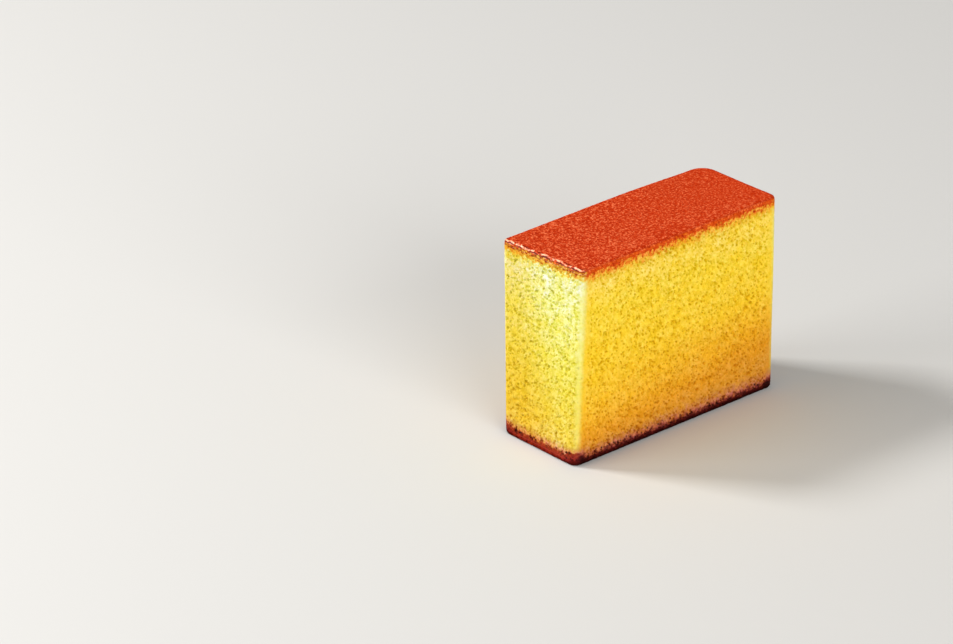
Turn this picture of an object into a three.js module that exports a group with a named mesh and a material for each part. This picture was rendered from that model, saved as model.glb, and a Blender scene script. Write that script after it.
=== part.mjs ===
// One slice of castella, the honey sponge cake that is baked in a large square frame and cut
// into upright blocks. The block is one solid: a springy yellow crumb with the browned skin
// of the loaf on its top and the darker baked base underneath, all grown together.
//
// Millimetres, +Z up. The slice stands on its baked base, with its long cut faces along X and
// its narrow cut ends at -X and +X. The origin is the middle of the underside.

import * as THREE from 'three';
import { ImprovedNoise } from 'three/addons/math/ImprovedNoise.js';
import { mergeVertices } from 'three/addons/utils/BufferGeometryUtils.js';

// Driving dimensions of the whole slice.
const LENGTH = 74;
const THICKNESS = 29.5;
const HEIGHT = 58;

// The baked skins, measured up or down a cut face.
const TOP_CRUST = 2.6;
const BASE_CRUST = 4.2;
const CRUST_PROUD = 0.22;
const CRUST_BLEND = 1.6;

// Soft edges where the skin turns over into the cut faces.
const TOP_ROUNDING = 1.2;
const BASE_ROUNDING = 1.6;
const ARC_STEPS = 3;
const SMALLEST_CORNER = 0.4;

// Upright corners, each with its radius at the top and at the base of the slice. The far corner
// at +X +Y was at the outside of the loaf, so it is rounder than the three that the knife made.
const CORNER_RADII = {
  frontLeft: { top: 1.6, base: 3.2 },
  front: { top: 1.3, base: 2.2 },
  right: { top: 1.8, base: 2.4 },
  farLeft: { top: 5.0, base: 3.6 },
};

// How a soft cake stands: its front edge leans back, its far end overhangs its base, the far
// corner sags, and the faces draw in.
const FRONT_LEAN = 2.3;
const FAR_OVERHANG = 0.5;
const FAR_DROOP = 0.75;
const DROOP_START = 0.1;
const FACE_HOLLOW = 0.4;
const END_HOLLOW = 0.25;
const TOP_SAG = 0.25;

// Low relief: long waves that the knife leaves, and dimples over the larger air cells.
const KNIFE_WAVE = 0.18;
const KNIFE_WAVELENGTH = 14;
const DIMPLE_DEPTH = 0.22;
const DIMPLE_SPACING = 4.2;
const SKIN_RIPPLE = 0.12;
const SKIN_RIPPLE_LENGTH = 9;

// Where each face reads the noise, so that no two faces carry the same relief.
const NOISE_PATCH = {
  frontEnd: 10.5,
  farEnd: 20.5,
  frontFace: 30.5,
  backFace: 40.5,
  skin: 50.5,
};
const DIMPLE_PATCH_SHIFT = 5;

// How finely the surface is divided: a few narrow steps from each edge, then even ones.
const EDGE_STEPS = [0, 0.55, 1.2, 2.1, 3.3, 4.8];
const FACE_STEP = 2.6;

// How strongly a face's relief fades from its own edge towards the middle of the block.
const FACE_FADE = 6;

const noise = new ImprovedNoise();

// Positions from one face to the opposite one, close together near both.
function stationsAcross(size) {
  const edge = EDGE_STEPS[EDGE_STEPS.length - 1];
  const middle = size - 2 * edge;
  const count = Math.max(1, Math.round(middle / FACE_STEP));
  const stations = EDGE_STEPS.map((step) => step - size / 2);
  for (let i = 1; i < count; i += 1) {
    stations.push(edge - size / 2 + (middle * i) / count);
  }
  for (const step of [...EDGE_STEPS].reverse()) {
    stations.push(size / 2 - step);
  }
  return stations;
}

// Levels up the slice: each has a height, and how far the outline is drawn in there by the
// quarter-round at the base or at the top.
function levelsUpward() {
  const levels = [];
  for (let i = 0; i <= ARC_STEPS; i += 1) {
    const angle = (Math.PI / 2) * (i / ARC_STEPS);
    levels.push({
      z: BASE_ROUNDING * (1 - Math.cos(angle)),
      inset: BASE_ROUNDING * (1 - Math.sin(angle)),
    });
  }
  const upright = HEIGHT - BASE_ROUNDING - TOP_ROUNDING;
  const count = Math.round(upright / FACE_STEP);
  for (let i = 1; i <= count; i += 1) {
    levels.push({ z: BASE_ROUNDING + (upright * i) / count, inset: 0 });
  }
  for (let i = 1; i <= ARC_STEPS; i += 1) {
    const angle = (Math.PI / 2) * (i / ARC_STEPS);
    levels.push({
      z: HEIGHT - TOP_ROUNDING * (1 - Math.sin(angle)),
      inset: TOP_ROUNDING * (1 - Math.cos(angle)),
    });
  }
  return levels;
}

function cornerRadius(x, y, z) {
  const front = y < 0 ? CORNER_RADII.front : CORNER_RADII.frontLeft;
  const far = y < 0 ? CORNER_RADII.right : CORNER_RADII.farLeft;
  const corner = x < 0 ? front : far;
  return THREE.MathUtils.lerp(corner.base, corner.top, z / HEIGHT);
}

// Maps a point of the square plan to the plan with round corners, drawn in by the inset.
function roundedPlan(x, y, level) {
  const halfX = LENGTH / 2 - level.inset;
  const halfY = THICKNESS / 2 - level.inset;
  const radius = Math.max(cornerRadius(x, y, level.z) - level.inset, SMALLEST_CORNER);
  const planX = (x / (LENGTH / 2)) * halfX;
  const planY = (y / (THICKNESS / 2)) * halfY;
  const overX = Math.abs(planX) - (halfX - radius);
  const overY = Math.abs(planY) - (halfY - radius);
  if (overX <= 0 || overY <= 0) {
    return [planX, planY];
  }
  const squareToDisc = Math.max(overX, overY) / Math.hypot(overX, overY);
  return [
    Math.sign(x) * (halfX - radius + overX * squareToDisc),
    Math.sign(y) * (halfY - radius + overY * squareToDisc),
  ];
}

// How far a cut face stands out at height z: the two skins are tougher than the crumb.
function crustStandOut(z) {
  const top = THREE.MathUtils.smoothstep(z, HEIGHT - TOP_CRUST - CRUST_BLEND, HEIGHT - TOP_CRUST);
  const base = 1 - THREE.MathUtils.smoothstep(z, BASE_CRUST, BASE_CRUST + CRUST_BLEND);
  return CRUST_PROUD * (top + base);
}

// The height of a cut face's relief at a point along it. The knife's waves run up the face.
function cutRelief(along, z, patch) {
  const wave = noise.noise(along / KNIFE_WAVELENGTH, z / (2 * KNIFE_WAVELENGTH), patch);
  const dimplePatch = patch + DIMPLE_PATCH_SHIFT;
  const cells = noise.noise(along / DIMPLE_SPACING, z / DIMPLE_SPACING, dimplePatch);
  return KNIFE_WAVE * wave - DIMPLE_DEPTH * Math.max(0, cells);
}

// Turns the true block into the soft, slightly uneven one. The underside stays flat.
function settle(x, y, z) {
  const u = x / (LENGTH / 2);
  const v = y / (THICKNESS / 2);
  const w = z / HEIGHT;
  const belly = 4 * w * (1 - w);
  const onEnd = Math.sign(u) * Math.abs(u) ** FACE_FADE;
  const onLongFace = Math.sign(v) * Math.abs(v) ** FACE_FADE;
  const onTop = w ** FACE_FADE;
  const offFloor = Math.min(1, z / BASE_ROUNDING);

  const endPatch = u < 0 ? NOISE_PATCH.frontEnd : NOISE_PATCH.farEnd;
  const longPatch = v < 0 ? NOISE_PATCH.frontFace : NOISE_PATCH.backFace;
  const endRelief = crustStandOut(z) + offFloor * cutRelief(y, z, endPatch);
  const longRelief = crustStandOut(z) + offFloor * cutRelief(x, z, longPatch);
  const endHollow = END_HOLLOW * belly * (1 - v * v);
  const longHollow = FACE_HOLLOW * belly * (1 - u * u);
  const lean = FRONT_LEAN * w * ((1 - u) / 2) * ((1 - v) / 2);
  const overhang = FAR_OVERHANG * w * ((1 + u) / 2);

  const skinX = x / SKIN_RIPPLE_LENGTH;
  const skinY = y / SKIN_RIPPLE_LENGTH;
  const ripple = noise.noise(skinX, skinY, NOISE_PATCH.skin);
  const sag = TOP_SAG * (1 - u * u) * (1 - v * v);
  const droop = FAR_DROOP * THREE.MathUtils.smoothstep(u, DROOP_START, 1) * ((1 + v) / 2);

  return [
    x + onEnd * (endRelief - endHollow) + lean + overhang,
    y + onLongFace * (longRelief - longHollow),
    z + onTop * (SKIN_RIPPLE * ripple - sag - droop),
  ];
}

// A closed box of small faces, shaped level by level, then brought to its exact size.
function sliceGeometry() {
  const acrossX = stationsAcross(LENGTH);
  const acrossY = stationsAcross(THICKNESS);
  const levels = levelsUpward();
  const countX = acrossX.length - 1;
  const countY = acrossY.length - 1;
  const countZ = levels.length - 1;

  const box = new THREE.BoxGeometry(countX, countY, countZ, countX, countY, countZ);
  box.deleteAttribute('normal');
  box.deleteAttribute('uv');
  box.translate(countX / 2, countY / 2, countZ / 2);
  const geometry = mergeVertices(box);

  const position = geometry.getAttribute('position');
  for (let i = 0; i < position.count; i += 1) {
    const level = levels[Math.round(position.getZ(i))];
    const x = acrossX[Math.round(position.getX(i))];
    const y = acrossY[Math.round(position.getY(i))];
    const [planX, planY] = roundedPlan(x, y, level);
    position.setXYZ(i, ...settle(planX, planY, level.z));
  }

  geometry.computeBoundingBox();
  const size = geometry.boundingBox.getSize(new THREE.Vector3());
  const centre = geometry.boundingBox.getCenter(new THREE.Vector3());
  geometry.translate(-centre.x, -centre.y, -geometry.boundingBox.min.z);
  geometry.scale(LENGTH / size.x, THICKNESS / size.y, HEIGHT / size.z);
  geometry.computeVertexNormals();
  return geometry;
}

const sponge = new THREE.MeshStandardMaterial({
  color: 0xf2c431,
  roughness: 0.85,
  metalness: 0,
});

const slice = new THREE.Mesh(sliceGeometry(), sponge);
slice.name = 'castella_slice';

const cake = new THREE.Group();
cake.add(slice);

export default cake;
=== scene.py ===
# %% [markdown]
# # A slice of castella
#
# Castella is a honey sponge: eggs, sugar, flour and honey whipped into an even foam and baked in
# a square frame. The top browns to a thin smooth skin, the base bakes darker on its paper, and
# the crumb between them is a fine, springy, yellow foam of air cells that the knife cuts open.
# This file dresses the plain solid slice in those three finishes.

# %% Load the solid slice
import itertools
import math

import bmesh
import bpy
import numpy as np
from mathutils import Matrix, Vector, noise


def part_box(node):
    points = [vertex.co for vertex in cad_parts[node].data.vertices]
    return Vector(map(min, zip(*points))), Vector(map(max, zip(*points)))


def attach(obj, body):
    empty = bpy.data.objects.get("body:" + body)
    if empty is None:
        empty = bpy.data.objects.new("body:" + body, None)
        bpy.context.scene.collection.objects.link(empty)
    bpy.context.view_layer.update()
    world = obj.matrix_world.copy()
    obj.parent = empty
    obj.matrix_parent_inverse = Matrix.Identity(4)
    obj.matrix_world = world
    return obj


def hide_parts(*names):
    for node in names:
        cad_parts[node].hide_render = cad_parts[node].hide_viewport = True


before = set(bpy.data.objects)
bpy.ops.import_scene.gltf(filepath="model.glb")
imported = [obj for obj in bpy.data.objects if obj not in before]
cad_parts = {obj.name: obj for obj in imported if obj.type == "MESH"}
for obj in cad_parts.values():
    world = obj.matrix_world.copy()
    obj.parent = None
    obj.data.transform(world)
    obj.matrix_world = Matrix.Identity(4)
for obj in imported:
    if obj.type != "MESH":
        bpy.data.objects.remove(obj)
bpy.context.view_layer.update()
LOW, HIGH = (Vector(corner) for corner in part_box("castella_slice"))
LENGTH, THICKNESS, HEIGHT = HIGH - LOW
MM = 0.001
print("slice in mm:", [round(side / MM, 1) for side in (LENGTH, THICKNESS, HEIGHT)])

# %% [markdown]
# ## The camera
#
# A long lens from two metres away, looking down at the near corner, so that the narrow cut end
# shows on the left, the long cut face on the right and the browned top above them. The slice
# stands right of the middle, so the camera looks past it by a measured amount, which keeps its
# lens unshifted.

# %% Camera
PICTURE_WIDTH = 953
SENSOR = 36.0
FOCAL_PIXELS = 7342
VIEW_DOWN = math.radians(26.14)
VIEW_TURN = math.radians(41.74)
VIEW_DISTANCE = 2000 * MM
BASE_RIGHT_OF_CENTRE = 44.12 * MM
BASE_BELOW_CENTRE = 23.64 * MM

ahead = Vector((math.sin(VIEW_TURN), math.cos(VIEW_TURN), 0))
right = Vector((math.cos(VIEW_TURN), -math.sin(VIEW_TURN), 0))
forward = ahead * math.cos(VIEW_DOWN) - Vector((0, 0, math.sin(VIEW_DOWN)))
up = right.cross(forward)

camera = bpy.data.objects.new("camera", bpy.data.cameras.new("camera"))
camera.data.sensor_width = SENSOR
camera.data.lens = FOCAL_PIXELS / PICTURE_WIDTH * SENSOR
camera.location = up * BASE_BELOW_CENTRE - right * BASE_RIGHT_OF_CENTRE - forward * VIEW_DISTANCE
camera.rotation_euler = forward.to_track_quat("-Z", "Y").to_euler()
bpy.context.scene.collection.objects.link(camera)
bpy.context.scene.camera = camera
print("lens", round(camera.data.lens, 1), "mm, from", [round(c, 3) for c in camera.location])

# %% [markdown]
# ## The shape of the slice
#
# A cut block of cake is a box whose edges are soft and whose faces aren't quite flat. Every
# piece here starts as a box of fine faces and is bent by the same function, so the skin, the
# crumb and the base fit each other everywhere. It could be sculpted by hand, but a function can
# be fed with the sizes of the real thing, and gives the same slice each time.

# %% Sizes of the soft block
TOP_ROUNDING = 1.2 * MM
BASE_ROUNDING = 0.8 * MM
CORNER_RADII_MM = {
    # which upright corner: radius at the base, radius at the top
    (-1, 1): (3.2, 1.6),
    (-1, -1): (2.6, 2.0),
    (1, -1): (2.4, 1.8),
    (1, 1): (3.6, 5.0),
}
SMALLEST_CORNER = 0.4 * MM
FRONT_LEAN = 2.4 * MM
FAR_DROOP = 0.85 * MM
DROOP_START = 0.1
FACE_HOLLOW = 0.4 * MM
END_HOLLOW = 0.25 * MM
TOP_SAG = 0.25 * MM
KNIFE_WAVE = 0.15 * MM
KNIFE_WAVELENGTH = 14 * MM
# how sharply a face's relief fades from its own edge towards the middle of the block
FACE_FADE = 6

BASE_ARC = BASE_ROUNDING * math.pi / 2
TOP_ARC = TOP_ROUNDING * math.pi / 2
UPRIGHT = HEIGHT - BASE_ROUNDING - TOP_ROUNDING
WALL = BASE_ARC + UPRIGHT + TOP_ARC
print("the wall of the slice is", round(WALL / MM, 2), "mm tall along its surface")


# %% Round and bend a plain box
def smoothstep(value, low, high):
    t = np.clip((value - low) / (high - low), 0, 1)
    return t * t * (3 - 2 * t)


def block_level(climb):
    """Height and inset at a climb up the wall, through the lower and upper quarter-rounds."""
    base_angle = np.clip(climb / BASE_ROUNDING, 0, math.pi / 2)
    top_angle = np.clip((climb - BASE_ARC - UPRIGHT) / TOP_ROUNDING, 0, math.pi / 2)
    z = BASE_ROUNDING * (1 - np.cos(base_angle)) + TOP_ROUNDING * np.sin(top_angle)
    z = z + np.clip(climb - BASE_ARC, 0, UPRIGHT)
    inset = BASE_ROUNDING * (1 - np.sin(base_angle)) + TOP_ROUNDING * (1 - np.cos(top_angle))
    return z, inset


def rounded_plan(a, b, z, inset):
    """Plan place of a point at (a, b) from -1 to 1, with each upright corner rounded."""
    half_x = LENGTH / 2 - inset
    half_y = THICKNESS / 2 - inset
    radius = np.zeros_like(a)
    for (side_x, side_y), (base, top) in CORNER_RADII_MM.items():
        here = (np.where(a < 0, -1, 1) == side_x) & (np.where(b < 0, -1, 1) == side_y)
        radius = np.where(here, (base + (top - base) * z / HEIGHT) * MM, radius)
    radius = np.maximum(radius - inset, SMALLEST_CORNER)
    x = a * half_x
    y = b * half_y
    over_x = np.abs(x) - (half_x - radius)
    over_y = np.abs(y) - (half_y - radius)
    corner = (over_x > 0) & (over_y > 0)
    reach = np.where(corner, np.hypot(over_x, over_y), 1)
    shrink = np.maximum(over_x, over_y) / reach
    x = np.where(corner, np.sign(x) * (half_x - radius + over_x * shrink), x)
    y = np.where(corner, np.sign(y) * (half_y - radius + over_y * shrink), y)
    return x, y


def noise_at(points, wavelength):
    """Smooth noise between about -1 and 1 at each point."""
    return np.array([noise.noise(point) for point in (points / wavelength).tolist()])


def settle(x, y, z):
    """The lean, droop, hollows and long knife waves of a soft cake that stands."""
    u = x / (LENGTH / 2)
    v = y / (THICKNESS / 2)
    w = z / HEIGHT
    belly = 4 * w * (1 - w)
    on_end = np.sign(u) * np.abs(u) ** FACE_FADE
    on_face = np.sign(v) * np.abs(v) ** FACE_FADE
    wave = KNIFE_WAVE * noise_at(np.stack([x, y, z / 2], axis=1), KNIFE_WAVELENGTH)
    wave = wave * np.minimum(1, z / BASE_ROUNDING)
    end_hollow = END_HOLLOW * belly * (1 - v * v)
    face_hollow = FACE_HOLLOW * belly * (1 - u * u)
    lean = FRONT_LEAN * w * (1 - u) / 2 * (1 - v) / 2
    sag = TOP_SAG * (1 - u * u) * (1 - v * v)
    droop = FAR_DROOP * smoothstep(u, DROOP_START, 1) * (1 + v) / 2
    return np.stack([
        x + on_end * (wave - end_hollow) + lean,
        y + on_face * (wave - face_hollow),
        z - w ** FACE_FADE * (sag + droop),
    ], axis=1)


print("the top edge turns in by", round(float(block_level(WALL)[1]) / MM, 2), "mm")

# %% [markdown]
# ## Three layers of fine faces
#
# The slice is made of three layers that overlap a little inside: the base skin, the crumb and the
# top skin. The open air cells of the crumb are under a millimetre wide, so the mesh has to be
# finer than that where they show, and can be coarse where nothing does. A cube loses the lids
# that stay hidden, its edges are divided by direction, and the open rims are closed by one flat
# face. Each corner remembers how far up the wall it lies, because the baking follows the wall,
# and how far the rows of air cells lean there, because a foam sets while it still slumps.

# %% Make a layer
def numbers(mesh, attribute="co"):
    flat = np.empty(len(mesh.vertices) * 3)
    mesh.vertices.foreach_get(attribute, flat)
    return flat.reshape(-1, 3)


def place(mesh, points):
    mesh.vertices.foreach_set("co", points.ravel())
    mesh.update()


def store(mesh, name, values):
    mesh.attributes.new(name, "FLOAT", "POINT").data.foreach_set("value", values)


def stored(mesh, name):
    values = np.empty(len(mesh.vertices))
    mesh.attributes[name].data.foreach_get("value", values)
    return values


LEAN_ALONG = 0.33
LEAN_ACROSS = 0.37


def foam_lean(x, y):
    """How much higher the rows of air cells stand, as they slope from place to place."""
    along = LEAN_ALONG * (LENGTH / 2 + x) * (0.5 - y / THICKNESS)
    across = LEAN_ACROSS * (THICKNESS / 2 + y) * (0.5 - x / LENGTH)
    return along + across


def layer(name, low, high, step, gridded_lid=0):
    """A closed box between two climbs up the wall, gridded at the step. The top lid is gridded
    too when gridded_lid is 1, and the bottom one when it is -1."""
    bm = bmesh.new()
    bmesh.ops.create_cube(bm, size=2)
    plain = [f for f in bm.faces if abs(f.normal.z) > 0.5 and f.normal.z * gridded_lid < 0.5]
    bmesh.ops.delete(bm, geom=plain, context="FACES_ONLY")
    for axis, size in enumerate((LENGTH, THICKNESS, high - low)):
        along = [e for e in bm.edges if e.verts[0].co[axis] != e.verts[1].co[axis]]
        cuts = max(2, round(size / step)) - 1
        bmesh.ops.subdivide_edges(bm, edges=along, cuts=cuts, use_grid_fill=True)
    bmesh.ops.holes_fill(bm, edges=[e for e in bm.edges if e.is_boundary], sides=0)
    bmesh.ops.recalc_face_normals(bm, faces=bm.faces)
    mesh = bpy.data.meshes.new(name)
    bm.to_mesh(mesh)
    bm.free()

    cube = numbers(mesh)
    climb = low + (cube[:, 2] + 1) / 2 * (high - low)
    z, inset = block_level(climb)
    x, y = rounded_plan(cube[:, 0], cube[:, 1], z, inset)
    place(mesh, settle(x, y, z))
    store(mesh, "climb", climb)
    store(mesh, "from_end", LENGTH / 2 - np.abs(x))
    store(mesh, "from_face", THICKNESS / 2 - np.abs(y))
    store(mesh, "lean", foam_lean(x, y))
    mesh.shade_smooth()
    piece = bpy.data.objects.new(name, mesh)
    bpy.context.scene.collection.objects.link(piece)
    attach(piece, "root")
    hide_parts("castella_slice")
    print(name, len(mesh.vertices), "corners,", len(mesh.polygons), "faces")
    return piece


print("rows of air cells rise by", round(foam_lean(LENGTH / 2, -THICKNESS / 2) / MM, 1), "mm")

# %% Base, crumb and top
BASE_SKIN = 2.0 * MM
TOP_SKIN = 2.2 * MM
OVERLAP = 0.5 * MM
BASE_STEP = 0.3 * MM
CRUMB_STEP = 0.355 * MM
TOP_STEP = 0.2 * MM

crumb_low = BASE_SKIN - OVERLAP
crumb_high = WALL - TOP_SKIN + OVERLAP
base_skin = layer("base_skin", 0, BASE_SKIN, BASE_STEP, -1)
crumb = layer("sponge_crumb", crumb_low, crumb_high, CRUMB_STEP)
top_skin = layer("top_skin", WALL - TOP_SKIN, WALL, TOP_STEP, 1)

# %% Bring the layers to the exact size
layers = (base_skin, crumb, top_skin)
corners = np.vstack([numbers(piece.data) for piece in layers])
lowest, highest = corners.min(axis=0), corners.max(axis=0)
middle = (lowest + highest) / 2 * [1, 1, 0]
stretch = np.array([LENGTH, THICKNESS, HEIGHT]) / (highest - lowest)
for piece in layers:
    place(piece.data, (numbers(piece.data) - middle) * stretch)
print("brought to the exact size by", stretch.round(4))

# %% [markdown]
# ## Which face each point is on
#
# The finishes change with the face they are on. The narrow cut ends get paler colours than the
# long cut faces, a painted highlight for the strong light on the near end, of which the far end
# takes only a part, and keep them round the upright corners. Across the cut ends a painted shade,
# warmer and darker, grows towards the back, so the near end is palest beside its near corner.
# Pores show on cut faces only. They close up beside the corners, where the knife dragged the crumb
# smooth and left it evenly shaded on the face and lighter on the end, the lighter colour partly a
# painted highlight along the corner. The base bakes a little higher at the corners, and the skin
# shines where it turns over the edge, with a coat, and on the cut ends with a painted highlight
# and a painted shadow. The distances and the smooth normals say all this before any relief is
# cut, so it is read now.

# %% Remember the faces
# the share of the cut ends' paler colours, a painted highlight, that the far end takes
FAR_END_HIGHLIGHT_SHARE = 0.4
# where across a cut end the painted shade, warmer and darker towards the back, begins and is
# full, and how far it slants with height
SIDE_SHADE_RISES = (-0.9, 0.3)
SIDE_SHADE_SLANTS = 0.7
# each pair of distances, from an upright corner or from the base or top, is where a finish
# begins to change and where the change is done
END_COLOUR_ENDS = (0.5 * MM, 2.7 * MM)
CALM_ENDS_ON_FACE = (2.2 * MM, 4.4 * MM)
CALM_ENDS_ON_END = (0.4 * MM, 1.6 * MM)
CALM = 0.65
CALM_SHADE = 0.3
CALM_SHADE_BEGINS = (0.4 * MM, 2.2 * MM)
DRAGGED_ENDS = (0.8 * MM, 2.4 * MM)
DRAGGED_FROM = (4.0 * MM, 9.0 * MM)
DRAGGED_TO = (7.0 * MM, 3.0 * MM)
CORNER_BAKE = 1.2 * MM
CORNER_REACH = (1.0 * MM, 6.0 * MM)
CORNER_BAKE_ENDS = (3.5 * MM, 8.0 * MM)
# how far a face has tipped towards level, from 0 on an upright face to 1 on a level one
CUT_FACE_ENDS = (0.35, 0.8)
RIM_BEGINS = (0.2, 0.45)
RIM_ENDS = (0.95, 0.99)

for piece in layers:
    from_end, from_face = stored(piece.data, "from_end"), stored(piece.data, "from_face")
    x, y, _ = numbers(piece.data).T
    # the cut ends take the paler colours, a painted highlight, fading out round the upright corners
    cut_end = np.where(x < 0, 1, FAR_END_HIGHLIGHT_SHARE) * (1 - smoothstep(from_end, *END_COLOUR_ENDS))
    store(piece.data, "cut_end", cut_end)
    climb = stored(piece.data, "climb")
    # a painted shade, warmer and darker, across the cut ends towards the back
    across = y / (THICKNESS / 2) - SIDE_SHADE_SLANTS * climb / WALL
    store(piece.data, "painted_side_shade", cut_end * smoothstep(across, *SIDE_SHADE_RISES))
    corner = 1 - smoothstep(np.maximum(from_end, from_face), *CORNER_REACH)
    corner = CORNER_BAKE * corner * (1 - smoothstep(climb, *CORNER_BAKE_ENDS))
    store(piece.data, "baked", climb - corner)
    calm = 1 - smoothstep(from_end, *CALM_ENDS_ON_FACE)
    calm = CALM * calm * (1 - smoothstep(from_face, *CALM_ENDS_ON_END))
    tipped = np.abs(numbers(piece.data, "normal"))[:, 2]
    cut_face = 1 - smoothstep(tipped, *CUT_FACE_ENDS)
    store(piece.data, "cut_face", cut_face)
    store(piece.data, "pored", cut_face * (1 - calm))
    shaded = CALM_SHADE * smoothstep(from_end, *CALM_SHADE_BEGINS)
    store(piece.data, "even_shade", cut_face * calm * shaded)
    # where the dragged crumb is painted paler, partly a painted highlight along the corner
    dragged = calm * (1 - smoothstep(from_end, *DRAGGED_ENDS)) * smoothstep(climb, *DRAGGED_FROM)
    dragged = dragged * (1 - smoothstep(WALL - climb, *DRAGGED_TO))
    store(piece.data, "dragged", dragged)
    # the rounded edge of the skin: it takes the coat, and on the cut ends painted highlight and shadow
    rim = smoothstep(tipped, *RIM_BEGINS) * (1 - smoothstep(tipped, *RIM_ENDS))
    store(piece.data, "rim", rim)
    print(piece.name, "has", round(float(cut_face.mean()), 2), "of its corners on cut faces")

# %% [markdown]
# ## The open crumb
#
# Sponge is a foam. The knife cuts through round air cells at every depth, so a cut face shows
# some as wide open cups and some as shallow dimples, with thin walls left standing between them.
# Pits could be painted on, but real cups catch the light and keep their shape from any side. So
# the air cells are laid out as balls in space, one in each cell of a jittered grid, and every
# point of the face that falls inside a ball is pushed back to the ball's far wall.

# %% Air cells
# large odd factors, as hash functions use, which give neighbouring cells unlike numbers
CELL_FACTORS = (73856093, 19349663, 83492791)
SALT_FACTOR = 2654435761
MIXING = ((29, 0xBF58476D1CE4E5B9), (32, 0x94D049BB133111EB))
DRAW_BITS = 24
# a draw times this has digits past the point that serve as one more draw
FRESH_DIGITS = 1000


def hashed(cells, salt):
    """Four even random numbers for each whole-number cell, the same on every run."""
    key = cells.astype(np.int64) * np.array(CELL_FACTORS)
    state = (key[:, 0] ^ key[:, 1] ^ key[:, 2] ^ (salt * SALT_FACTOR)).astype(np.uint64)
    draws = []
    for _ in range(4):
        for shift, factor in MIXING:
            state = (state ^ (state >> np.uint64(shift))) * np.uint64(factor)
        draws.append((state >> np.uint64(64 - DRAW_BITS)).astype(float) / 2 ** DRAW_BITS)
    return draws


def cut_bubbles(points, normals, spacing, radii, share, stretch, salt):
    """How deep each surface point lies inside the air cells that the cut opened."""
    flat = points / np.array([1, 1, stretch])
    home = np.floor(flat / spacing)
    depth = np.zeros(len(points))
    for step in itertools.product((-1, 0, 1), repeat=3):
        cell = home + step
        ru, rv, rw, rr = hashed(cell, salt)
        centre = (cell + np.stack([ru, rv, rw], axis=1)) * spacing
        there = np.modf(rr * FRESH_DIGITS)[0] < share
        radius = radii[0] + (radii[1] - radii[0]) * rr
        to_point = flat - centre
        outward = np.einsum("ij,ij->i", to_point, normals)
        inside = radius ** 2 - np.einsum("ij,ij->i", to_point, to_point)
        cup = outward + np.sqrt(np.maximum(inside, 0) + outward ** 2)
        depth = np.where(there & (inside > 0), np.maximum(depth, cup), depth)
    return depth


print("draws for one cell:", [round(float(draw[0]), 3) for draw in hashed(np.zeros((1, 3)), 1)])

# %% Cut the crumb
BUBBLE_SIZES = (
    # spacing, smallest and largest radius, share of cells filled, height over width
    (2.40 * MM, (0.32 * MM, 0.54 * MM), 0.30, 1.30),
    (1.10 * MM, (0.20 * MM, 0.44 * MM), 0.75, 1.20),
    (0.80 * MM, (0.16 * MM, 0.30 * MM), 0.75, 1.00),
)
DEEPEST_CUP = 0.42 * MM
SHAKE_SEED = 7
JITTER = 0.42
SKIN_FADE = 0.3 * MM
TUCKED_IN = 0.12 * MM

surface = numbers(crumb.data)
outward = numbers(crumb.data, "normal")
rng = np.random.default_rng(SHAKE_SEED)
shake = rng.uniform(-JITTER, JITTER, surface.shape) * CRUMB_STEP
shake -= outward * np.einsum("ij,ij->i", shake, outward)[:, None]
depth = np.zeros(len(surface))
leaned = surface + stored(crumb.data, "lean")[:, None] * [0, 0, 1]
for salt, (spacing, radii, share, tall) in enumerate(BUBBLE_SIZES):
    depth = np.maximum(depth, cut_bubbles(leaned, outward, spacing, radii, share, tall, salt))
depth = np.minimum(depth, DEEPEST_CUP) * stored(crumb.data, "pored")
climb = stored(crumb.data, "climb")
open_face = smoothstep(climb, BASE_SKIN, BASE_SKIN + SKIN_FADE)
open_face = open_face * (1 - smoothstep(climb, WALL - TOP_SKIN - SKIN_FADE, WALL - TOP_SKIN))
inward = depth * open_face + TUCKED_IN * (1 - open_face)
place(crumb.data, surface + shake * open_face[:, None] - outward * inward[:, None])
store(crumb.data, "cup", depth * open_face / DEEPEST_CUP)
print("open cells cover", round(float((depth > 0).mean()), 2), "of the cut faces")

# %% [markdown]
# ## The grain of the skins
#
# The browned top feels like fine suede and the base like blotting paper: both are the flattened
# outer cells of the foam. Low noise pressed about a tenth of a millimetre into each skin at its
# deepest gives their edges an uneven line. It only goes inwards, so the slice keeps its size.

# %% Skin grain
GRAINS = (
    # piece, wavelength, half the greatest depth
    (top_skin, 0.45 * MM, 0.05 * MM),
    (base_skin, 0.70 * MM, 0.06 * MM),
)
COARSER = 2.3
COARSER_SHARE = 0.5

for piece, size, amount in GRAINS:
    surface = numbers(piece.data)
    outward = numbers(piece.data, "normal")
    grain = noise_at(surface, size) + COARSER_SHARE * noise_at(surface, size * COARSER)
    inside = np.clip(grain, -1, 1) * amount - amount
    hidden_lid = outward[:, 2] * (1 if piece is base_skin else -1) > 0.5
    inside[hidden_lid] = 0
    place(piece.data, surface + outward * inside[:, None])
    print(piece.name, "grain goes in by up to", round(float(-inside.min()) / MM, 2), "mm")

# %% [markdown]
# ## Recipes for the finishes
#
# A finish is a short recipe of shader nodes. One helper adds any node, sets its values and joins
# it to the nodes before it, so a recipe reads from top to bottom. Colours are written as a screen
# shows them, and turned into linear light, which is what the renderer counts in.

# %% Helpers for finishes


def linear(hex_colour):
    """The linear colour of an sRGB hex value, with full cover."""
    channels = [int(hex_colour[i:i + 2], 16) / 255 for i in (1, 3, 5)]
    return [c / 12.92 if c <= 0.04045 else ((c + 0.055) / 1.055) ** 2.4 for c in channels] + [1]


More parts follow.
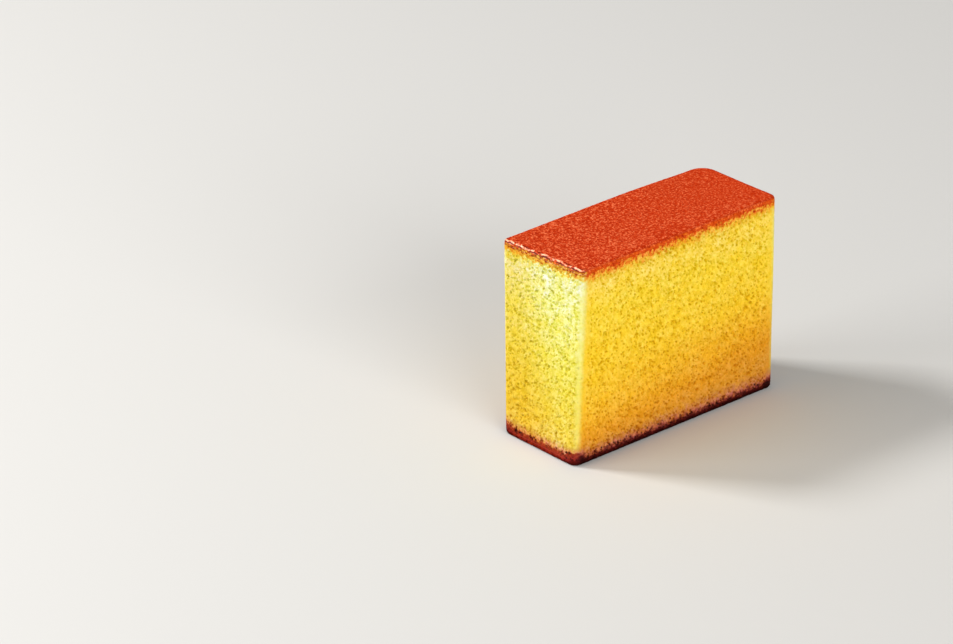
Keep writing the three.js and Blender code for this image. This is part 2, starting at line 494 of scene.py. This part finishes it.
def add(tree, kind, settings=None, inputs=None, stops=None):
    """Adds a node with its settings, its values or links, and the stops of its colour ramp."""
    made = tree.nodes.new(kind)
    for name, value in (settings or {}).items():
        setattr(made, name, value)
    for name, value in (inputs or {}).items():
        if isinstance(value, bpy.types.NodeSocket):
            tree.links.new(value, made.inputs[name])
        else:
            made.inputs[name].default_value = value
    for index, (position, colour) in enumerate(stops or ()):
        ramp = made.color_ramp.elements
        stop = ramp[index] if index < 2 else ramp.new(position)
        stop.position = position
        stop.color = linear(colour)
    return made


def new_material(name, piece):
    material = bpy.data.materials.new(name)
    material.use_nodes = True
    material.node_tree.nodes.clear()
    piece.data.materials.append(material)
    return material.node_tree


def finish(tree, shader_inputs):
    shader = add(tree, "ShaderNodeBsdfPrincipled", inputs=shader_inputs)
    add(tree, "ShaderNodeOutputMaterial", inputs={"Surface": shader.outputs[0]})


print("screen mid grey in linear light:", round(linear("#808080")[0], 3))

# %% [markdown]
# ## How the cake browned
#
# Heat works inwards, so the colour of a cut face follows the distance from the skins: almost
# black where the base met the hot frame, reddish brown and amber above it, a slow change from
# gold to pale yellow, and amber again under the browned top. On the long faces the lower half and
# the base are also painted darker, a painted shade towards the bottom, and in the lower half the
# darker amber climbs higher towards the far end. The cut ends have a paler list, the bake with a
# painted highlight for the strong light on them, and a redder base without that painted shade.
# Each list pairs a distance along the wall, in millimetres, with the colour of the lightest crumb
# there. Foam browns unevenly, so fine noise moves the whole scale up and down, by under a
# millimetre at the base and by more at the top, which leaves no line straight.

# %% Colours of the bake
# the bake on the long faces, painted darker towards the bottom as a painted shade
LONG_FACE_BAKE_AND_SHADE_FROM_BASE = (
    (0.0, "#1C0607"),
    (0.8, "#28090C"),
    (1.4, "#2C0405"),
    (2.1, "#511414"),
    (2.6, "#8A393B"),
    (3.1, "#B25F55"),
    (3.7, "#CA7E67"),
    (4.6, "#C88559"),
    (6.1, "#D89845"),
    (10, "#E29F38"),
    (18, "#EEB841"),
    (30, "#F3CF4F"),
    (45, "#F2D65F"),
)
LONG_FACE_FROM_TOP = (
    (6.5, "#F4D77B"),
    (5.3, "#EACA63"),
    (4.1, "#ECB851"),
    (3.2, "#EB9C45"),
    (2.6, "#D75D1F"),
    (1.9, "#DE5C1B"),
    (1.4, "#C0330A"),
    (0.7, "#EC7648"),
)
# the paler colours of the cut ends: the bake with a painted highlight for the strong light on them
END_BAKE_AND_HIGHLIGHT_FROM_BASE = (
    (0.0, "#3C0C0C"),
    (0.8, "#50100F"),
    (1.4, "#7E2026"),
    (2.2, "#943328"),
    (2.8, "#92301E"),
    (3.3, "#A6523A"),
    (3.8, "#D69E8A"),
    (4.8, "#BEA16A"),
    (6.1, "#D4C178"),
    (10, "#D4C166"),
    (18, "#D2C367"),
    (30, "#D4CD81"),
    (45, "#D5D4B1"),
)
END_BAKE_AND_HIGHLIGHT_FROM_TOP = (
    (6.5, "#D4D6DA"),
    (5.0, "#D1D2B5"),
    (4.1, "#D5D190"),
    (3.4, "#CDB14D"),
    (2.6, "#D6A654"),
    (2.2, "#C48E33"),
    (1.7, "#965227"),
    (1.2, "#B43C12"),
    (0.7, "#EC7648"),
)
UNEVEN_SIZE = 1.0 * MM
UNEVEN_AT_BASE = 0.8 * MM
UNEVEN_AT_TOP = 1.7 * MM
FAR_END_DEEPER = 6.0 * MM
DEEPER_FROM = (3.0 * MM, 16.0 * MM)
DEEPER_TO = (20.0 * MM, 34.0 * MM)
# the part of 0 to 1 that holds most of a noise texture
NOISE_SPAN = (0.3, 0.7)
print("stops on a long face:", len(LONG_FACE_BAKE_AND_SHADE_FROM_BASE) + len(LONG_FACE_FROM_TOP))
print("stops on a cut end:", len(END_BAKE_AND_HIGHLIGHT_FROM_BASE) + len(END_BAKE_AND_HIGHLIGHT_FROM_TOP))


# %% Colour by distance from the skins
def wall_ramp(tree, level, from_base, from_top=()):
    """A colour ramp along the wall, from stops in millimetres from the base and from the top."""
    stops = [(rise * MM / WALL, colour) for rise, colour in from_base]
    stops += [(1 - fall * MM / WALL, colour) for fall, colour in from_top]
    stops = [stops[0], stops[-1]] + stops[1:-1]
    return add(tree, "ShaderNodeValToRGB", inputs={0: level}, stops=stops).outputs[0]


def baked_level(tree, where, cut_face):
    """How far up the wall a point lies, from 0 to 1, moved up and down by the uneven foam."""
    climb = add(tree, "ShaderNodeAttribute", {"attribute_name": "baked"}).outputs["Fac"]
    uneven = add(tree, "ShaderNodeTexNoise", inputs={
        "Vector": where, "Scale": 1 / UNEVEN_SIZE, "Detail": 4.0, "Roughness": 0.7,
    }).outputs[0]
    shift = add(tree, "ShaderNodeMapRange", inputs={
        "Value": uneven, "From Min": NOISE_SPAN[0], "From Max": NOISE_SPAN[1],
        "To Min": -1.0, "To Max": 1.0,
    }).outputs[0]
    reach = add(tree, "ShaderNodeMapRange", inputs={
        "Value": climb, "From Max": WALL, "To Min": UNEVEN_AT_BASE, "To Max": UNEVEN_AT_TOP,
    }).outputs[0]
    reach = add(tree, "ShaderNodeMath", {"operation": "MULTIPLY"}, {0: reach, 1: cut_face}).outputs[0]
    moved = add(tree, "ShaderNodeMath", {"operation": "MULTIPLY_ADD"}, {
        0: shift, 1: reach, 2: climb,
    }).outputs[0]
    return add(tree, "ShaderNodeMath", {"operation": "DIVIDE"}, {0: moved, 1: WALL}).outputs[0]


def deeper_far_end(tree, where, level):
    """The level lowered towards the far end of the slice, in the lower half of the wall only."""
    along = add(tree, "ShaderNodeSeparateXYZ", inputs={0: where}).outputs["X"]
    begun = add(tree, "ShaderNodeMapRange", {"interpolation_type": "SMOOTHSTEP"}, {
        "Value": level, "From Min": DEEPER_FROM[0] / WALL, "From Max": DEEPER_FROM[1] / WALL,
    }).outputs[0]
    over = add(tree, "ShaderNodeMapRange", {"interpolation_type": "SMOOTHSTEP"}, {
        "Value": level, "From Min": DEEPER_TO[1] / WALL, "From Max": DEEPER_TO[0] / WALL,
    }).outputs[0]
    zone = add(tree, "ShaderNodeMath", {"operation": "MULTIPLY"}, {0: begun, 1: over}).outputs[0]
    lower = add(tree, "ShaderNodeMath", {"operation": "MULTIPLY"}, {
        0: along, 1: -FAR_END_DEEPER / (LENGTH / 2) / WALL,
    }).outputs[0]
    return add(tree, "ShaderNodeMath", {"operation": "MULTIPLY_ADD"}, {
        0: lower, 1: zone, 2: level,
    }).outputs[0]


def by_face(tree, long_face, end):
    """The first colour on the long faces and the second on the cut ends."""
    cut_end = add(tree, "ShaderNodeAttribute", {"attribute_name": "cut_end"}).outputs["Fac"]
    return add(tree, "ShaderNodeMix", {"data_type": "RGBA"}, {
        0: cut_end, 6: long_face, 7: end,
    }).outputs[2]


def baked_colour(tree, where, level):
    deeper = deeper_far_end(tree, where, level)
    long_face = wall_ramp(tree, deeper, LONG_FACE_BAKE_AND_SHADE_FROM_BASE, LONG_FACE_FROM_TOP)
    end = wall_ramp(tree, level, END_BAKE_AND_HIGHLIGHT_FROM_BASE, END_BAKE_AND_HIGHLIGHT_FROM_TOP)
    return by_face(tree, long_face, end)


print("a millimetre is", round(MM / WALL, 4), "of the colour scale")

# %% [markdown]
# ## Pores too fine to model
#
# Between the cups in the mesh lie smaller cells, and the walls between them are thick in one
# place and thin in the next. Modelling these too would take millions of faces. Cell noise gives
# the small round pits, crowded in some places and sparse in others, and cloud noise the uneven
# walls. Both, and the cups in the mesh, are given painted shade towards a deep honey colour, for
# the shade inside the cells and the light that is tinted at every bounce there, and both tip the
# surface a little. Just above the base runs a row of cells that burnt almost black. The two skins
# use the same pores on their cut edges, so no seam shows.

# %% Shade the pores
PORE_SPACING = 0.95 * MM
WALL_SIZE = 1.0 * MM
PORE_STRETCH = (1.2, 1.35, 1.1)
WALL_STRETCH = (1.2, 1.35, 1.25)
CLUSTER_SIZE = 3.0 * MM
# from small pores to large ones: the cloud noise there, and their radius in pore spacings
CLUSTER_SPAN = (0.36, 0.6)
PORE_RADIUS = (0.3, 0.56)
# the radius, in pore spacings, within which a pore is at its darkest
PORE_BOTTOM = 0.05
# the wall noise where a wall is thick, and where it is at its thinnest
THIN_WALLS = (0.64, 0.34)
CUP_SHADE = 0.52
PORE_SHADE = 0.72
UNEVEN_SHADE = 0.6
HONEY_SHADE = "#FFFFB0"
HONEY_SHADE_GAIN = 1.6
BURNT_PORES = ((1.2, "#8A5048"), (2.3, "#5A2A24"), (3.2, "#6E382C"), (4.2, "#B88A54"))
BROWNED_PORES = ((3.2, "#C88A40"), (2.2, "#C07858"), (1.5, "#C88070"))
# colours of the painted shade in the pores, on the long faces and, paler, on the cut ends
FACE_PORE_SHADE = (
    BURNT_PORES + ((7.0, "#CEB43A"), (45, "#CEBE30")),
    ((4.5, "#CEBC30"),) + BROWNED_PORES,
)
END_PORE_SHADE = (
    BURNT_PORES + ((7.0, "#D0BE68"), (45, "#CCCE88")),
    ((4.5, "#CCC884"),) + BROWNED_PORES,
)
PORE_RELIEF = 0.12 * MM
DEEPER_PATCHES = 4.0 * MM
DEEPER_SPAN = (0.38, 0.62)
DEEPER_YELLOW = "#FFF9B4"
# the tint of the painted shade across the cut ends
SIDE_SHADE_TINT = "#FBE8B2"
# the paler dragged crumb beside the upright corners, partly a painted highlight
DRAGGED_CRUMB_AND_HIGHLIGHT = "#E6E47C"
DRAGGED_SHARE = 0.5
BURNT_SPACING = 1.4 * MM
BURNT_FROM = (2.2 * MM, 3.0 * MM)
BURNT_TO = (3.6 * MM, 4.4 * MM)
# the radii, in burnt spacings, at which a burnt cell begins and is at its darkest
BURNT_CELL = (0.34, 0.16)
BURNT_SHADE = 0.9
BURNT = "#2A0A08"
print("pores of", round(PORE_SPACING / MM, 2), "mm, burnt cells of", round(BURNT_SPACING / MM, 2), "mm")


def burnt_cells(tree, foam, cut_face):
    """How burnt a point is: the row of scorched cells just above the dark base."""
    climb = add(tree, "ShaderNodeAttribute", {"attribute_name": "baked"}).outputs["Fac"]
    share = add(tree, "ShaderNodeMath", {"operation": "MULTIPLY"}, {
        0: cut_face, 1: BURNT_SHADE,
    }).outputs[0]
    for first, last in (BURNT_FROM, BURNT_TO[::-1]):
        near = add(tree, "ShaderNodeMapRange", inputs={
            "Value": climb, "From Min": first, "From Max": last,
        }).outputs[0]
        share = add(tree, "ShaderNodeMath", {"operation": "MULTIPLY"}, {0: share, 1: near}).outputs[0]
    cell = add(tree, "ShaderNodeTexVoronoi", inputs={
        "Vector": foam, "Scale": 1 / BURNT_SPACING,
    }).outputs["Distance"]
    cell = add(tree, "ShaderNodeMapRange", inputs={
        "Value": cell, "From Min": BURNT_CELL[0], "From Max": BURNT_CELL[1],
    }).outputs[0]
    return add(tree, "ShaderNodeMath", {"operation": "MULTIPLY"}, {0: share, 1: cell}).outputs[0]


def cut_foam(tree, where, cut_face):
    """Colour and bump of a cut face: the bake with painted shade in cups, pores and thin walls."""
    cup = add(tree, "ShaderNodeAttribute", {"attribute_name": "cup"}).outputs["Fac"]
    pored = add(tree, "ShaderNodeAttribute", {"attribute_name": "pored"}).outputs["Fac"]
    even_shade = add(tree, "ShaderNodeAttribute", {"attribute_name": "even_shade"}).outputs["Fac"]
    lean = add(tree, "ShaderNodeAttribute", {"attribute_name": "lean"}).outputs["Fac"]
    lean = add(tree, "ShaderNodeCombineXYZ", inputs={"Z": lean}).outputs[0]
    foam = add(tree, "ShaderNodeVectorMath", {"operation": "ADD"}, {0: where, 1: lean}).outputs[0]
    stretched = add(tree, "ShaderNodeVectorMath", {"operation": "DIVIDE"}, {
        0: foam, 1: PORE_STRETCH,
    }).outputs[0]
    cell = add(tree, "ShaderNodeTexVoronoi", inputs={
        "Vector": stretched, "Scale": 1 / PORE_SPACING,
    }).outputs["Distance"]
    cluster = add(tree, "ShaderNodeTexNoise", inputs={
        "Vector": foam, "Scale": 1 / CLUSTER_SIZE, "Detail": 2.0,
    }).outputs[0]
    widest = add(tree, "ShaderNodeMapRange", inputs={
        "Value": cluster, "From Min": CLUSTER_SPAN[0], "From Max": CLUSTER_SPAN[1],
        "To Min": PORE_RADIUS[0], "To Max": PORE_RADIUS[1],
    }).outputs[0]
    pore = add(tree, "ShaderNodeMapRange", {"interpolation_type": "SMOOTHSTEP"}, {
        "Value": cell, "From Min": widest, "From Max": PORE_BOTTOM,
    }).outputs[0]
    stretched = add(tree, "ShaderNodeVectorMath", {"operation": "DIVIDE"}, {
        0: foam, 1: WALL_STRETCH,
    }).outputs[0]
    walls = add(tree, "ShaderNodeTexNoise", inputs={
        "Vector": stretched, "Scale": 1 / WALL_SIZE, "Detail": 3.0, "Roughness": 0.8,
    }).outputs[0]
    thin = add(tree, "ShaderNodeMapRange", inputs={
        "Value": walls, "From Min": THIN_WALLS[0], "From Max": THIN_WALLS[1],
    }).outputs[0]
    # painted shade of the cups, the pores and the thin walls
    shade = add(tree, "ShaderNodeMath", {"operation": "MULTIPLY"}, {0: cup, 1: CUP_SHADE}).outputs[0]
    for part, amount in ((pore, PORE_SHADE), (thin, UNEVEN_SHADE)):
        shade = add(tree, "ShaderNodeMath", {"operation": "MULTIPLY_ADD", "use_clamp": True}, {
            0: part, 1: amount, 2: shade,
        }).outputs[0]
    shade = add(tree, "ShaderNodeMath", {"operation": "MULTIPLY_ADD"}, {
        0: shade, 1: pored, 2: even_shade,
    }).outputs[0]
    level = baked_level(tree, where, cut_face)
    inside = by_face(tree, *(wall_ramp(tree, level, *pores) for pores in (FACE_PORE_SHADE, END_PORE_SHADE)))
    colour = add(tree, "ShaderNodeMix", {"data_type": "RGBA", "blend_type": "MULTIPLY"}, {
        0: shade, 6: baked_colour(tree, where, level), 7: inside,
    }).outputs[2]
    patches = add(tree, "ShaderNodeTexNoise", inputs={
        "Vector": where, "Scale": 1 / DEEPER_PATCHES, "Detail": 3.0, "Roughness": 0.7,
    }).outputs[0]
    patches = add(tree, "ShaderNodeMapRange", inputs={
        "Value": patches, "From Min": DEEPER_SPAN[0], "From Max": DEEPER_SPAN[1],
    }).outputs[0]
    patches = add(tree, "ShaderNodeMath", {"operation": "MULTIPLY"}, {
        0: patches, 1: cut_face,
    }).outputs[0]
    painted_side_shade = add(tree, "ShaderNodeAttribute", {"attribute_name": "painted_side_shade"}).outputs["Fac"]
    painted_side_shade = add(tree, "ShaderNodeMath", {"operation": "MULTIPLY"}, {0: painted_side_shade, 1: cut_face}).outputs[0]
    honey = add(tree, "ShaderNodeMath", {"operation": "MULTIPLY", "use_clamp": True}, {
        0: shade, 1: HONEY_SHADE_GAIN,
    }).outputs[0]
    # deeper yellow patches, the painted honey shade of the pores and the painted side shade
    for amount, tint in ((patches, DEEPER_YELLOW), (honey, HONEY_SHADE), (painted_side_shade, SIDE_SHADE_TINT)):
        colour = add(tree, "ShaderNodeMix", {"data_type": "RGBA", "blend_type": "MULTIPLY"}, {
            0: amount, 6: colour, 7: linear(tint),
        }).outputs[2]
    # mix in the paler dragged crumb, partly a painted highlight, then the burnt cells
    dragged = add(tree, "ShaderNodeAttribute", {"attribute_name": "dragged"}).outputs["Fac"]
    dragged = add(tree, "ShaderNodeMath", {"operation": "MULTIPLY"}, {
        0: dragged, 1: DRAGGED_SHARE,
    }).outputs[0]
    for amount, tint in ((dragged, DRAGGED_CRUMB_AND_HIGHLIGHT), (burnt_cells(tree, foam, cut_face), BURNT)):
        colour = add(tree, "ShaderNodeMix", {"data_type": "RGBA"}, {
            0: amount, 6: colour, 7: linear(tint),
        }).outputs[2]
    relief = add(tree, "ShaderNodeMath", {"operation": "SUBTRACT"}, {0: walls, 1: pore}).outputs[0]
    bump = add(tree, "ShaderNodeBump", inputs={
        "Height": relief, "Distance": PORE_RELIEF, "Strength": pored,
    }).outputs[0]
    return colour, bump


# %% [markdown]
# ## The crumb's finish
#
# Sponge is matt but not chalky: sugar and egg leave its cell walls with a faint sheen, and
# light sinks about a millimetre into the foam and comes out warmer. A little subsurface light,
# with red going furthest, softens the dark pores as it does in the real crumb.

# %% Crumb
tree = new_material("baked_sponge_foam", crumb)
where = add(tree, "ShaderNodeTexCoord").outputs["Object"]
cut_face = add(tree, "ShaderNodeAttribute", {"attribute_name": "cut_face"}).outputs["Fac"]
colour, bump = cut_foam(tree, where, cut_face)
finish(tree, {
    "Base Color": colour,
    "Roughness": 0.6,
    "Specular IOR Level": 0.05,
    "Subsurface Weight": 0.2,
    "Subsurface Radius": (1.0, 0.5, 0.15),
    "Subsurface Scale": 0.8 * MM,
    "Normal": bump,
})
print("the crumb's recipe has", len(tree.nodes), "nodes")

# %% [markdown]
# ## The browned top
#
# The top is a thin skin of caramelised cells, close and even like suede: each cell shows as a
# light orange grain with a dark gap beside it. Noise finer than a millimetre, passed through a
# ramp from brown through brick to clear, gives the grains, and a bump raises them. Both grow
# calmer towards the far end. Where the skin turns over a cut end the knife pressed it into a lip
# beside a groove. A cosine of the distance up the wall, made wavy, bumps both, and on the cut
# ends paints a pale highlight on the lip and a dark shadow in the groove; a thin coat shines on
# the lip in patches.

# %% Top skin
SKIN_GRAIN_SIZE = 0.6 * MM
SKIN_RELIEF = 0.24 * MM
# the first and the last stop, then the one between them
SKIN_GRAINS = ((0.36, "#B65814"), (0.66, "#FFFFFF"), (0.50, "#CF7422"))
MIDDLE_GRAIN = 0.5
GRAIN_NEAR = 1.1
GRAIN_FAR = 0.6
SHINE_PATCHES = 1.2 * MM
SHINE_SPAN = (0.44, 0.56)
SHINE = 0.18
LIP_SPACING = 1.2 * MM
FIRST_LIP = 0.75 * MM
LIP_WAVE_SIZE = 2.5 * MM
LIP_WAVE = 0.4 * MM
LIP_RELIEF = 0.04 * MM
# painted shadow in the groove and painted highlight on the lip, on the cut ends only
LIP_SHADOW = "#5C1A06"
LIP_PAINTED_HIGHLIGHT = "#F8B48C"
# the part of the cosine, from -1 in the groove to 1 on the lip, over which the painted shadow
# and the painted highlight each deepen
SHADOW_SPAN = (0.0, -0.8)
PAINTED_HIGHLIGHT_SPAN = (-0.1, 0.6)

tree = new_material("browned_cake_skin", top_skin)
where = add(tree, "ShaderNodeTexCoord").outputs["Object"]
cut_face = add(tree, "ShaderNodeAttribute", {"attribute_name": "cut_face"}).outputs["Fac"]
colour, bump = cut_foam(tree, where, cut_face)
on_top = add(tree, "ShaderNodeMath", {"operation": "SUBTRACT"}, {0: 1.0, 1: cut_face}).outputs[0]
grain = add(tree, "ShaderNodeTexNoise", inputs={
    "Vector": where, "Scale": 1 / SKIN_GRAIN_SIZE, "Detail": 2.0, "Roughness": 0.7,
}).outputs[0]
along = add(tree, "ShaderNodeSeparateXYZ", inputs={0: where}).outputs["X"]
strength = add(tree, "ShaderNodeMapRange", inputs={
    "Value": along, "From Min": -LENGTH / 2, "From Max": LENGTH / 2,
    "To Min": GRAIN_NEAR, "To Max": GRAIN_FAR,
}).outputs[0]
grain = add(tree, "ShaderNodeMath", {"operation": "SUBTRACT"}, {
    0: grain, 1: MIDDLE_GRAIN,
}).outputs[0]
grain = add(tree, "ShaderNodeMath", {"operation": "MULTIPLY_ADD"}, {
    0: grain, 1: strength, 2: MIDDLE_GRAIN,
}).outputs[0]
speck = add(tree, "ShaderNodeValToRGB", inputs={0: grain}, stops=SKIN_GRAINS).outputs[0]
colour = add(tree, "ShaderNodeMix", {"data_type": "RGBA", "blend_type": "MULTIPLY"}, {
    0: on_top, 6: colour, 7: speck,
}).outputs[2]
bump = add(tree, "ShaderNodeBump", inputs={
    "Height": grain, "Distance": SKIN_RELIEF, "Strength": on_top, "Normal": bump,
}).outputs[0]
rim = add(tree, "ShaderNodeAttribute", {"attribute_name": "rim"}).outputs["Fac"]
cut_end = add(tree, "ShaderNodeAttribute", {"attribute_name": "cut_end"}).outputs["Fac"]
end_rim = add(tree, "ShaderNodeMath", {"operation": "MULTIPLY"}, {0: rim, 1: cut_end}).outputs[0]
climb = add(tree, "ShaderNodeAttribute", {"attribute_name": "climb"}).outputs["Fac"]
wave = add(tree, "ShaderNodeTexNoise", inputs={
    "Vector": where, "Scale": 1 / LIP_WAVE_SIZE, "Detail": 2.0,
}).outputs[0]
turns = math.tau / LIP_SPACING
start = -(WALL - FIRST_LIP) * turns
wavy = add(tree, "ShaderNodeMapRange", inputs={
    "Value": wave, "From Min": NOISE_SPAN[0], "From Max": NOISE_SPAN[1],
    "To Min": start - LIP_WAVE * turns, "To Max": start + LIP_WAVE * turns,
}).outputs[0]
angle = add(tree, "ShaderNodeMath", {"operation": "MULTIPLY_ADD"}, {
    0: climb, 1: turns, 2: wavy,
}).outputs[0]
lips = add(tree, "ShaderNodeMath", {"operation": "COSINE"}, {0: angle}).outputs[0]
patches = add(tree, "ShaderNodeTexNoise", inputs={
    "Vector": where, "Scale": 1 / SHINE_PATCHES, "Detail": 3.0,
}).outputs[0]
shine = add(tree, "ShaderNodeMapRange", inputs={
    "Value": patches, "From Min": SHINE_SPAN[0], "From Max": SHINE_SPAN[1],
}).outputs[0]
coat_and_painted_highlight = add(tree, "ShaderNodeMath", {"operation": "MULTIPLY"}, {0: end_rim, 1: shine}).outputs[0]
coat = add(tree, "ShaderNodeMath", {"operation": "MULTIPLY"}, {0: coat_and_painted_highlight, 1: SHINE}).outputs[0]
# paint the shadow into the groove and the highlight onto the lip
for span, amount, tint in ((SHADOW_SPAN, end_rim, LIP_SHADOW), (PAINTED_HIGHLIGHT_SPAN, coat_and_painted_highlight, LIP_PAINTED_HIGHLIGHT)):
    share = add(tree, "ShaderNodeMapRange", inputs={
        "Value": lips, "From Min": span[0], "From Max": span[1],
    }).outputs[0]
    share = add(tree, "ShaderNodeMath", {"operation": "MULTIPLY"}, {0: share, 1: amount}).outputs[0]
    colour = add(tree, "ShaderNodeMix", {"data_type": "RGBA"}, {
        0: share, 6: colour, 7: linear(tint),
    }).outputs[2]
bump = add(tree, "ShaderNodeBump", inputs={
    "Height": lips, "Distance": LIP_RELIEF, "Strength": end_rim, "Normal": bump,
}).outputs[0]
finish(tree, {
    "Base Color": colour,
    "Roughness": 0.6,
    "Specular IOR Level": 0.04,
    "Coat Weight": coat,
    "Coat Roughness": 0.2,
    "Normal": bump,
})
print("the top skin's recipe has", len(tree.nodes), "nodes")

# %% [markdown]
# ## The dark base
#
# The base baked longest, against the bottom of the frame. It is dry and dull, almost black in
# the middle of its height and reddish where it is thin, and on the long faces painted darker
# still, a painted shade, so it needs little more than the scale of baking and the pores that are
# cut open along its upper edge.

# %% Base skin
tree = new_material("dark_baked_base", base_skin)
where = add(tree, "ShaderNodeTexCoord").outputs["Object"]
cut_face = add(tree, "ShaderNodeAttribute", {"attribute_name": "cut_face"}).outputs["Fac"]
colour, bump = cut_foam(tree, where, cut_face)
finish(tree, {
    "Base Color": colour,
    "Roughness": 0.8,
    "Specular IOR Level": 0.02,
    "Normal": bump,
})
print("finishes:", [material.name for material in bpy.data.materials])

# %% [markdown]
# ## Floor and light
#
# The slice stands on a plain pale board in a light room. Three soft boxes light it: a low one
# from the left makes the narrow end the brightest face, a smaller, higher one catches the
# turned-over edge of the skin, and a wide one, farther off on the right, lights the long face
# evenly. They stand low, because light from above would wash out the deep colours of the
# upright faces.

# %% Floor and room
FLOOR_RADIUS = 6
FLOOR_SIDES = 64
PALE_BOARD = "#CCCAC6"
ROOM_LIGHT = 0.3

floor_mesh = bpy.data.meshes.new("floor")
bm = bmesh.new()
bmesh.ops.create_circle(bm, cap_ends=True, radius=FLOOR_RADIUS, segments=FLOOR_SIDES)
bm.to_mesh(floor_mesh)
bm.free()
floor = bpy.data.objects.new("floor", floor_mesh)
bpy.context.scene.collection.objects.link(floor)
finish(new_material("pale_matt_board", floor), {"Base Color": linear(PALE_BOARD), "Roughness": 0.8})

world = bpy.data.worlds.new("studio")
world.use_nodes = True
bpy.context.scene.world = world
world.node_tree.nodes["Background"].inputs["Color"].default_value = (1, 1, 1, 1)
world.node_tree.nodes["Background"].inputs["Strength"].default_value = ROOM_LIGHT
bpy.context.scene.view_settings.view_transform = "Standard"
print("a floor", 2 * FLOOR_RADIUS, "m across, under a room light of", ROOM_LIGHT)


# %% Soft boxes
def softbox(name, turn, rise, distance, width, tall, power):
    """An area light aimed at the slice; turn is from the camera's side, positive to its left."""
    turn, rise = math.radians(turn), math.radians(rise)
    flat = -ahead * math.cos(turn) - right * math.sin(turn)
    direction = flat * math.cos(rise) + Vector((0, 0, math.sin(rise)))
    light = bpy.data.lights.new(name, "AREA")
    light.shape = "RECTANGLE"
    light.size, light.size_y = width, tall
    light.energy = power
    lamp = bpy.data.objects.new(name, light)
    lamp.location = direction * distance + Vector((0, 0, HEIGHT / 2))
    lamp.rotation_euler = (-direction).to_track_quat("-Z", "Y").to_euler()
    lamp.visible_camera = False
    bpy.context.scene.collection.objects.link(lamp)


SOFT_BOXES = (
    # name, turn and rise in degrees, distance, width and height in metres, power in watts
    ("key", 70, 14, 1.2, 0.7, 0.4, 9.8),
    ("rim", 105, 42, 1.2, 0.25, 0.25, 11),
    ("fill", -28, 22, 2.2, 1.5, 1.0, 42),
)
for box in SOFT_BOXES:
    softbox(*box)
print("lights:", [light.name for light in bpy.data.lights])
